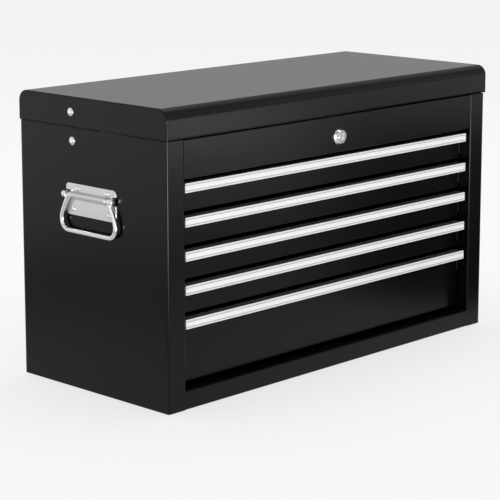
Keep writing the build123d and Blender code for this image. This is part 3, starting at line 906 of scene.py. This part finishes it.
@dataclass
class Lid(SubAssembly):
    """The lid: a top sheet rolled over front and back, and two flat ends."""

    low: float = 326.0
    top: float = 363.0
    front: float = -134.0
    back: float = 132.0
    half_width: float = 302.0
    roll: float = 13.5
    roll_facets: int = 12
    sheet: float = 1.0
    cover_edge: float = 0.15
    end_thickness: float = 2.0
    end_rounding: float = 1.9
    end_low: float = 325.5
    hem: float = 7.0
    hem_bend: float = 2.2

    def build(self) -> None:
        """Make the cover, the ends and the strike."""
        self.cover()
        for side in Side:
            self.end(side)
        self.keep("lid_strike", "lid_strike_bracket", "lid", Slot.STEEL)

    def cover(self) -> None:
        """Roll the top sheet over its two long edges and fold the hem."""
        path = [(self.back, self.low), (self.back, self.top), (self.front, self.top),
                (self.front, self.low), (self.front + self.hem, self.low)]
        half = self.half_width - self.end_thickness
        cover = Blank.bent_sheet(path, [self.roll, self.roll, self.hem_bend], self.sheet, Run.WIDTH, (-half, half),
                                 segments=self.roll_facets, edge=self.cover_edge)
        self.put(cover, "lid_cover_sheet", "lid", "lid_cover")

    def end(self, side: Side) -> None:
        """Cut one end plate and round its outer rim.

        Args:
            side: The side that it goes on.
        """
        outline = [(self.front, self.end_low), (self.back, self.end_low), (self.back, self.top),
                   (self.front, self.top)]
        plate = Blank.plate(outline, [0.0, 0.0, self.roll, self.roll], self.end_thickness, Run.WIDTH,
                            self.half_width - self.end_thickness, segments=self.roll_facets)
        plate.break_edges(self.end_rounding, 5, beyond=self.half_width - 0.1)
        self.put(plate.mirrored(side), f"{side.word}_lid_end_plate", "lid", f"lid_{side.word}_end")


@dataclass
class Drawer(SubAssembly):
    """One drawer: its tray with the painted front, its grip and its two rails."""

    number: int
    top: float
    plane: float = -114.0
    grip_half: float = 267.0
    grip_face: float = -128.0
    grip_height: float = 11.5
    grip_wall: float = 1.5
    grip_lip: float = 4.0
    grip_back_share: float = 0.8
    grip_bends: Point = (0.3, 0.7, 0.7)
    grip_edge: float = 0.15
    groove: float = 1.6
    groove_depth: float = 1.1
    groove_shares: Flat = (0.2, 0.8)

    def build(self) -> None:
        """Make the drawer's tray, grip and runners."""
        body = f"drawer_{self.number}"
        self.keep(f"{body}_tray", f"{body}_front_and_tray", body)
        self.put(self.grip(), f"{body}_grip", body, f"{body}_pull", Slot.GRIP)
        self.put(Blank.copied(f"{body}_rails"), f"{body}_runner_pair", body, f"{body}_rails", Slot.STEEL)

    def grip(self) -> Blank:
        """Draw out the grip and press the two grooves into its face."""
        foot = self.top - self.grip_height
        path = [(self.plane, self.top - self.grip_back_share * self.grip_height), (self.plane, self.top),
                (self.grip_face, self.top), (self.grip_face, foot), (self.grip_face + self.grip_lip, foot)]
        grip = Blank.bent_sheet(path, self.grip_bends, self.grip_wall, Run.WIDTH, (-self.grip_half, self.grip_half),
                                segments=4, edge=self.grip_edge)
        for share in self.groove_shares:
            middle = foot + share * self.grip_height
            lines = (middle - self.groove / 2, middle + self.groove / 2)
            for height in lines:
                grip.score(height)
            grip.sink(lambda face: self._in_groove(face, lines), (0.0, self.groove_depth, 0.0))
        return grip

    def _in_groove(self, face: bmesh.types.BMFace, lines: Span) -> bool:
        """Whether a face of the grip's front lies between a groove's two lines."""
        middle = face.calc_center_median()
        return (face.normal.y < -0.95 and abs(middle.y - self.grip_face) < 0.05
                and lines[0] < middle.z < lines[1])


@dataclass
class SideHandle(SubAssembly):
    """A pressed plate with a tunnel, its four rivets and the folding bail."""

    side: Side
    face: float = 300.0
    half_length: float = 45.0
    low: float = 218.0
    top: float = 257.0
    thickness: float = 1.5
    corner: float = 5.0
    rim: float = 0.5
    axis_z: float = 243.6
    standoff: float = 5.5
    wire: float = 6.0
    head: float = 4.5
    head_span: Span = (38.5, 45.5)
    head_rounds: Flat = (0.5, 1.5)
    arm_start: float = 36.0
    half_span: float = 48.3
    drop: float = 44.0
    knee_drop: float = 26.0
    bends: tuple[float, float, float] = (4.0, 20.0, 12.0)
    spindle_start: float = 12.0
    tunnel_half: float = 32.0
    tunnel_edge: float = 0.3
    bore: float = 3.05
    wall: float = 0.9
    seat_gap: float = 0.02
    crease_width: float = 3.4
    crease_bend: float = 2.6
    flare_width: float = 1.6
    flare_bend: float = 1.4
    mouth_play: float = 0.05
    mouth_rim: float = 0.35
    mouth_length: float = 3.0
    mouth_inset: float = 2.4
    notch_half: float = 4.8
    notch_depth: float = 9.0
    notch_lip: float = 1.0
    rivets: tuple[Flat, ...] = ((24.5, 251.2), (-28.0, 251.2), (32.0, 225.4), (-32.0, 225.4))
    rivet_head: float = 3.4
    rivet_dome: float = 1.6

    def build(self) -> None:
        """Make the plate, the rivets and the bail."""
        word = self.side.word
        plate = self.plate().add(self.tunnel()).mirrored(self.side)
        self.put(plate, f"{word}_grip_plate", "case", f"{word}_handle_plate", Slot.ZINC)
        heads = Blank()
        for y, z in self.rivets:
            heads.add(self.rivet(y, z))
        self.put(heads.mirrored(self.side), f"{word}_plate_rivets", "case", f"{word}_handle_rivets", Slot.CHROME)
        bail = self.bail().mirrored(self.side)
        self.put(bail, f"{word}_folding_bail", f"{word}_bail", f"{word}_bail", Slot.CHROME)

    def plate(self) -> Blank:
        """Cut the plate with its rounded corners and the round notch at each end."""
        end, inner = self.half_length, self.half_length - self.notch_depth
        lower, upper = self.axis_z - self.notch_half, self.axis_z + self.notch_half
        outline = [(-end, self.low), (end, self.low), (end, lower), (inner, lower), (inner, upper), (end, upper),
                   (end, self.top), (-end, self.top), (-end, upper), (-inner, upper), (-inner, lower), (-end, lower)]
        deep = self.notch_half * 0.98
        rounds = [self.corner, self.corner, self.notch_lip, deep, deep, self.notch_lip] * 2
        plate = Blank.plate(outline, rounds, self.thickness, Run.WIDTH, self.face)
        return plate.break_edges(self.rim, 3, beyond=self.face + self.thickness - 0.05)

    def tunnel(self) -> Blank:
        """Press the tunnel that holds the bail's ends, with a soft flare above it and a crease below."""
        hull = self.bore + self.wall
        foot = self.face + self.thickness + self.seat_gap
        crest = self.face + self.standoff + hull
        low, high = self.axis_z - hull, self.axis_z + hull
        path = [(foot, low - self.crease_width), (foot, low), (crest, low), (crest, high), (foot, high),
                (foot, high + self.flare_width)]
        crown = hull - self.seat_gap
        ridge = Blank.bent_sheet(path, [self.crease_bend, crown, crown, self.flare_bend], self.wall, Run.DEPTH,
                                 (-self.tunnel_half, self.tunnel_half), segments=8, edge=self.tunnel_edge)
        for end in (-1.0, 1.0):
            ridge.add(self.mouth(end))
        return ridge

    def mouth(self, end: float) -> Blank:
        """Turn the rolled rim at one end of the tunnel.

        Args:
            end: -1 for the front end and 1 for the back end.

        Returns:
            The rim.
        """
        inner, outer = self.bore + self.mouth_play, self.bore + self.wall + self.mouth_rim
        profile = [(inner, 0.0), (outer, 0.0), (outer, self.mouth_length), (inner, self.mouth_length)]
        place = (self.face + self.standoff, end * (self.tunnel_half - self.mouth_inset), self.axis_z)
        return Blank.turned(profile, [0.3, 0.35], place, (0.0, end, 0.0))

    def rivet(self, y: float, z: float) -> Blank:
        """Turn one domed rivet head with its thin collar.

        Args:
            y: Its place along the chest's depth.
            z: Its height.

        Returns:
            The head on the plate.
        """
        radius, dome = self.rivet_head, self.rivet_dome
        profile = [(radius, -0.2), (radius, 0.35), (radius * 0.8, dome * 0.8), (radius * 0.42, dome), (0.0, dome)]
        return Blank.turned(profile, [0.25, 1.2, 0.8], (self.face + self.thickness, y, z), (1.0, 0.0, 0.0))

    def bail(self) -> Blank:
        """Bend the wire from one tunnel end to the other, with a round head beside each arm."""
        x, reach = self.face + self.standoff, self.half_span - self.arm_start
        slope = math.degrees(math.atan2(self.knee_drop, reach))
        top, knee, low = self.bends
        lost = [top * math.tan(math.radians(slope / 2)), knee * math.tan(math.radians((90 - slope) / 2)), low]
        runs = [self.arm_start - self.spindle_start - lost[0],
                math.hypot(reach, self.knee_drop) - lost[0] - lost[1],
                self.drop - self.knee_drop - lost[1] - lost[2], 2 * (self.half_span - lost[2])]
        wire = WireBender((x, -self.spindle_start, self.axis_z), (0.0, -1.0, 0.0), (1.0, 0.0, 0.0), self.wire / 2)
        wire.straight(runs[0]).bend(slope, top).straight(runs[1]).bend(90 - slope, knee)
        wire.straight(runs[2]).bend(90.0, low).straight(runs[3]).bend(90.0, low)
        wire.straight(runs[2]).bend(90 - slope, knee).straight(runs[1]).bend(slope, top)
        bail = wire.straight(runs[0]).finished()
        near, far = self.head_span
        profile = [(0.0, 0.0), (self.head, 0.0), (self.head, far - near), (0.0, far - near)]
        for end in (-1.0, 1.0):
            bail.add(Blank.turned(profile, self.head_rounds, (x, end * near, self.axis_z), (0.0, end, 0.0)))
        return bail


@dataclass
class CamLock(SubAssembly):
    """The cam lock: a tapered face with a notch, the plug with its keyway, and the cam inside."""

    plug_edge: float = 0.15

    def build(self) -> None:
        """Make the lock's pieces from their own shapes, with broken edges."""
        self.keep("lock_housing", "lock_face_and_barrel", "case", Slot.CHROME)
        self.keep("lock_plug", "lock_plug_and_keyway", "lock_plug", Slot.CHROME, self.plug_edge)
        self.keep("lock_cam", "lock_cam_blade", "lock_plug", Slot.STEEL)


@dataclass
class LidStay(SubAssembly):
    """A folding stay: two flat links that meet at its elbow."""

    side: Side
    pivot_y: float = 34.0
    case_z: float = 308.5
    lid_z: float = 344.0
    elbow: Flat = (-50.3155, 326.25)
    half_width: float = 6.5
    thickness: float = 1.5
    edge: float = 0.25
    case_face: float = 298.5
    lid_face: float = 296.7

    def build(self) -> None:
        """Make the two links."""
        word = self.side.word
        for kind, height, face in (("case", self.case_z, self.case_face), ("lid", self.lid_z, self.lid_face)):
            link = self.link(height, face).mirrored(self.side)
            self.put(link, f"{word}_{kind}_stay_bar", f"{word}_{kind}_link", f"{word}_stay_{kind}_link", Slot.STEEL)

    def link(self, pivot_z: float, face: float) -> Blank:
        """Cut one bar with round ends and lay it from its pivot to the elbow.

        Args:
            pivot_z: The height of its pivot.
            face: The X of its outer face.

        Returns:
            The bar on the right side.
        """
        rise, reach = self.elbow[1] - pivot_z, self.elbow[0] - self.pivot_y
        width = self.half_width
        start, stop = self.pivot_y - width, self.pivot_y + math.hypot(rise, reach) + width
        outline = [(start, pivot_z - width), (stop, pivot_z - width), (stop, pivot_z + width),
                   (start, pivot_z + width)]
        bar = Blank.plate(outline, [width * 0.999] * 4, self.thickness, Run.WIDTH, face - self.thickness)
        bar.break_edges(self.edge)
        return bar.tilt(math.degrees(math.atan2(rise, reach)), (face, self.pivot_y, pivot_z))


@dataclass
class StayRivets(SubAssembly):
    """The domed rivets that hold the stays to the case and the lid."""

    pivot_y: float = 34.0
    case_z: float = 308.5
    lid_z: float = 344.0
    case_faces: Span = (296.8, 300.0)
    lid_faces: Span = (295.0, 302.0)
    head: float = 5.2
    collar: float = 0.4
    dome: float = 1.8
    shank: float = 2.5
    tail_head: float = 4.5
    tail_height: float = 1.3

    def build(self) -> None:
        """Make both pairs with their shanks and inner heads."""
        for kind, height, faces in (("case", self.case_z, self.case_faces), ("lid", self.lid_z, self.lid_faces)):
            pair = Blank()
            for side in Side:
                pair.add(self.rivet(height, faces).mirrored(side))
            self.put(pair, f"{kind}_stay_rivet_pair", kind, f"stay_{kind}_rivets", Slot.RIVET)

    def rivet(self, height: float, faces: Span) -> Blank:
        """Turn one rivet from its inner head to its dome.

        Args:
            height: The rivet's place above the base.
            faces: The X of the inner head's face and of the outer sheet.

        Returns:
            The rivet on the right side.
        """
        foot = faces[0] - faces[1]
        tail = foot - self.tail_height
        profile = [(0.0, tail), (self.tail_head, tail), (self.tail_head, foot), (self.shank, foot), (self.shank, 0.0),
                   (self.head, 0.0), (self.head, self.collar), (self.head * 0.72, self.dome * 0.86),
                   (self.head * 0.3, self.dome), (0.0, self.dome)]
        rounds = [0.3, 0.3, 0.0, 0.0, 0.1, 0.25, 1.4, 0.6]
        return Blank.turned(profile, rounds, (faces[1], self.pivot_y, height), (1.0, 0.0, 0.0), 36)


@dataclass
class PianoHinge(SubAssembly):
    """The long hinge: two leaves with alternate knuckles."""

    leaf_edge: float = 0.15

    def build(self) -> None:
        """Make both leaves with smooth knuckles."""
        for body in ("case", "lid"):
            self.keep(f"hinge_{body}_leaf", f"{body}_hinge_leaf", body, edge=self.leaf_edge)


# The studio


def lay_sheet(name: str, place: Matrix, size: Flat, material: bpy.types.Material) -> bpy.types.Object:
    """Lay one flat stage piece.

    Args:
        name: Its name.
        place: Where its middle lies and how it is turned.
        size: Its two sides in metres.
        material: What it is made of.

    Returns:
        The sheet.
    """
    mesh = bpy.data.meshes.new(name)
    bm = bmesh.new()
    bmesh.ops.create_grid(bm, x_segments=1, y_segments=1, size=0.5, matrix=place @ Matrix.Diagonal((*size, 1.0, 1.0)))
    bm.to_mesh(mesh)
    bm.free()
    mesh.materials.append(material)
    sheet = bpy.data.objects.new(name, mesh)
    bpy.context.scene.collection.objects.link(sheet)
    return sheet


@dataclass(frozen=True)
class ReflectionCard:
    """A card on the floor that only the chest's gloss shows, soft at its edges and fading towards the chest."""

    name: str
    middle: Flat
    size: Flat
    turn: float
    level: float
    soft: Flat
    fade: float = 0.0
    lift: float = 0.002

    def lay(self) -> None:
        """Lay the card down and hide it from all but glossy rays."""
        turn = Matrix.Rotation(math.radians(self.turn), 4, "Z")
        place = Matrix.Translation((*self.middle, self.lift)) @ turn
        card = lay_sheet(self.name, place, self.size, self.cloth())
        card.visible_camera = card.visible_diffuse = card.visible_shadow = card.visible_transmission = False

    def cloth(self) -> bpy.types.Material:
        """Make the card's glowing cloth, which thins out towards its edges."""
        bench = FinishBench.for_finish(f"{self.name}_cloth")
        where = bench.node("ShaderNodeMapping", {"vector_type": "TEXTURE"}, {
            "Vector": bench.place(), "Location": (*self.middle, 0.0), "Rotation": (0.0, 0.0, math.radians(self.turn))})
        across, along, _ = bench.parts(where)
        width, length = self.size
        cover = (width / 2 - abs(across)).above(0.0, self.soft[0]) * (length / 2 - abs(along)).above(0.0, self.soft[1])
        if self.fade:
            cover = cover * (along + length / 2).above(0.0, self.fade)
        glow = bench.node("ShaderNodeEmission", None, {"Color": (1.0, 1.0, 1.0, 1.0), "Strength": self.level})
        clear = bench.node("ShaderNodeBsdfTransparent")
        surface = bench.node("ShaderNodeMixShader", None, {0: cover, 1: clear, 2: glow})
        bench.node("ShaderNodeOutputMaterial", None, {"Surface": surface})
        return bench.owner


@dataclass
class Studio:
    """A pale floor, soft light and the camera of the photograph.

    The walls, the room and the pool on the floor are greys that only reflections show: the walls by the
    height of the reflected ray, the room by its depth, and the pool by the distance from the chest.
    """

    camera_place: Point = (-1.7572, -1.6682, 0.6637)
    azimuth: float = 46.067
    tilt: float = 10.095
    lens: float = 134.6
    sensor: float = 36.0
    shift: float = -0.15
    backdrop: float = 0.92
    ambient: float = 0.95
    rear_wall: tuple[Flat, ...] = ((0.0, 0.34), (0.10, 0.36), (0.14, 0.76), (0.22, 0.72), (0.30, 0.36),
                                   (0.52, 0.40), (0.70, 0.50))
    rear_edge: Span = (0.16, 0.08)
    side_wall: tuple[Flat, ...] = ((0.0, 0.8), (0.66, 0.8), (0.76, 0.2))
    side_edge: Span = (0.2, 0.2)
    front_room: tuple[Flat, ...] = ((0.0, 0.72), (0.25, 0.70), (0.33, 0.40), (0.41, 0.42), (0.50, 0.62),
                                    (0.58, 0.55))
    bounce: float = 1.3
    bounce_edge: Span = (1.0, 0.3)
    floor_size: Flat = (60.0, 60.0)
    floor_drop: float = 0.0004
    floor_share: float = 0.75
    floor_gloss: float = 0.9
    floor_pool: tuple[Flat, ...] = ((0.125, 0.76), (0.20, 0.65), (0.255, 0.57), (0.375, 0.37), (0.475, 0.40),
                                    (0.55, 0.62), (0.65, 0.87), (0.95, 0.98), (1.0, 1.15))
    pool_scale: float = 0.5
    paper_glow: float = 0.895
    paper_tones: tuple[Colour, Colour] = ((0.91, 0.91, 0.91), (0.93, 0.93, 0.93))
    paper_fibres: float = 90.0
    cards: tuple[ReflectionCard, ...] = (
        ReflectionCard("corner_bounce_card", (-0.918, -1.556), (1.3, 2.2), -223.4, 24.0, (0.35, 0.1), 1.2),
        ReflectionCard("lid_glow_card", (1.36, -1.89), (0.8, 1.1), -135.0, 5.2, (0.35, 0.4), lift=0.004),
        ReflectionCard("dark_flag_card", (1.23, -0.665), (1.0, 2.02), 45.0, 0.08, (0.15, 0.14)),
    )
    softbox_place: Point = (0.3, 0.5, 2.6)
    softbox_aim: Point = (0.0, 0.0, 0.15)
    softbox_size: Flat = (2.4, 1.6)
    softbox_watts: float = 26.0

    def build(self) -> None:
        """Set up the camera, the world, the floor, the cards and the lamp."""
        self.camera()
        self.world()
        self.floor()
        for card in self.cards:
            card.lay()
        self.softbox()

    def camera(self) -> None:
        """Place the camera at the photograph's viewing angle."""
        data = bpy.data.cameras.new("photo_camera")
        data.lens, data.sensor_width, data.shift_y = self.lens, self.sensor, self.shift
        camera = bpy.data.objects.new("photo_camera", data)
        camera.location = self.camera_place
        camera.rotation_euler = (math.radians(90.0 - self.tilt), 0.0, math.radians(-self.azimuth))
        bpy.context.scene.collection.objects.link(camera)
        bpy.context.scene.camera = camera
        bpy.context.scene.view_settings.view_transform = "Standard"

    @staticmethod
    def rays(bench: FinishBench) -> tuple[Tone, Tone]:
        """Masks of the rays that show the backdrop, straight or through glass, and of the glossy ones."""
        camera, glossy, through = bench.node("ShaderNodeLightPath").outlets(
            "Is Camera Ray", "Is Glossy Ray", "Is Transmission Ray")
        return camera + through, glossy

    @staticmethod
    def glow(bench: FinishBench, kind: str, colour: float | Tone) -> Tone:
        """An even light of one grey, or of a tone that changes."""
        shade = colour if isinstance(colour, Tone) else (colour, colour, colour, 1.0)
        return bench.node(kind, None, {"Color": shade, "Strength": 1.0})

    def world(self) -> None:
        """Give the surroundings a white backdrop, and a bright rear wall in a darker room for reflections."""
        bench = FinishBench(bpy.data.worlds.new("studio_world"))
        bpy.context.scene.world = bench.owner
        across, along, height = bench.parts(bench.node("ShaderNodeTexCoord", out="Generated"))
        walls = bench.blend(across.above(*self.side_edge), bench.ramp(self.side_wall, height),
                            bench.ramp(self.rear_wall, height))
        room = bench.ramp(self.front_room, (along + 1.0) * 0.5)
        dome = bench.blend(along.above(*self.rear_edge), room, walls)
        dome = bench.blend((0.0 - across - along).above(*self.bounce_edge), dome, (self.bounce,) * 3)
        shown, glossy = self.rays(bench)
        white, lit, gloss = [self.glow(bench, "ShaderNodeBackground", shade)
                             for shade in (self.backdrop, self.ambient, dome)]
        reflected = bench.node("ShaderNodeMixShader", None, {0: glossy, 1: lit, 2: gloss})
        final = bench.node("ShaderNodeMixShader", None, {0: shown, 1: reflected, 2: white})
        bench.node("ShaderNodeOutputWorld", None, {"Surface": final})

    def floor(self) -> None:
        """Lay the floor, which shows as the backdrop's white under a faint shadow."""
        bench = FinishBench.for_finish("studio_floor_paper")
        fibres = bench.noise(bench.place(), self.paper_fibres, 3.0)
        cloth = bench.node("ShaderNodeBsdfDiffuse", None, {"Color": bench.blend(fibres, *self.paper_tones)})
        reach = bench.node("ShaderNodeVectorMath", {"operation": "LENGTH"}, {0: bench.place()}, "Value")
        pool = bench.ramp(self.floor_pool, reach * self.pool_scale)
        shown, glossy = self.rays(bench)
        white, sheen = [self.glow(bench, "ShaderNodeEmission", shade) for shade in (self.paper_glow, pool)]
        paper = bench.node("ShaderNodeMixShader", None, {0: shown * self.floor_share, 1: cloth, 2: white})
        surface = bench.node("ShaderNodeMixShader", None, {0: glossy * self.floor_gloss, 1: paper, 2: sheen})
        bench.node("ShaderNodeOutputMaterial", None, {"Surface": surface})
        lay_sheet("studio_floor", Matrix.Translation((0.0, 0.0, -self.floor_drop)), self.floor_size, bench.owner)

    def softbox(self) -> None:
        """Hang the soft light over the chest."""
        data = bpy.data.lights.new("overhead_softbox", "AREA")
        data.shape, data.energy = "RECTANGLE", self.softbox_watts
        data.size, data.size_y = self.softbox_size
        lamp = bpy.data.objects.new("overhead_softbox", data)
        heading = (Vector(self.softbox_aim) - Vector(self.softbox_place)).to_track_quat("-Z", "Y")
        lamp.matrix_world = Matrix.Translation(self.softbox_place) @ heading.to_matrix().to_4x4()
        lamp.visible_camera = False
        bpy.context.scene.collection.objects.link(lamp)


DRAWER_TOPS = (272.0, 231.0, 190.0, 149.0, 108.0)


def main() -> None:
    """Build the chest, sub-assembly by sub-assembly, and set up the studio."""
    logging.basicConfig(level=logging.INFO, format="%(name)s: %(message)s")
    finishes = Finishes()
    finishes.dress_nodes()
    CaseShell(finishes).build()
    Lid(finishes).build()
    for number, top in enumerate(DRAWER_TOPS, start=1):
        Drawer(finishes, number, top).build()
    CamLock(finishes).build()
    for side in Side:
        SideHandle(finishes, side).build()
        LidStay(finishes, side).build()
    StayRivets(finishes).build()
    PianoHinge(finishes).build()
    Studio().build()


if __name__ == "__main__":
    main()
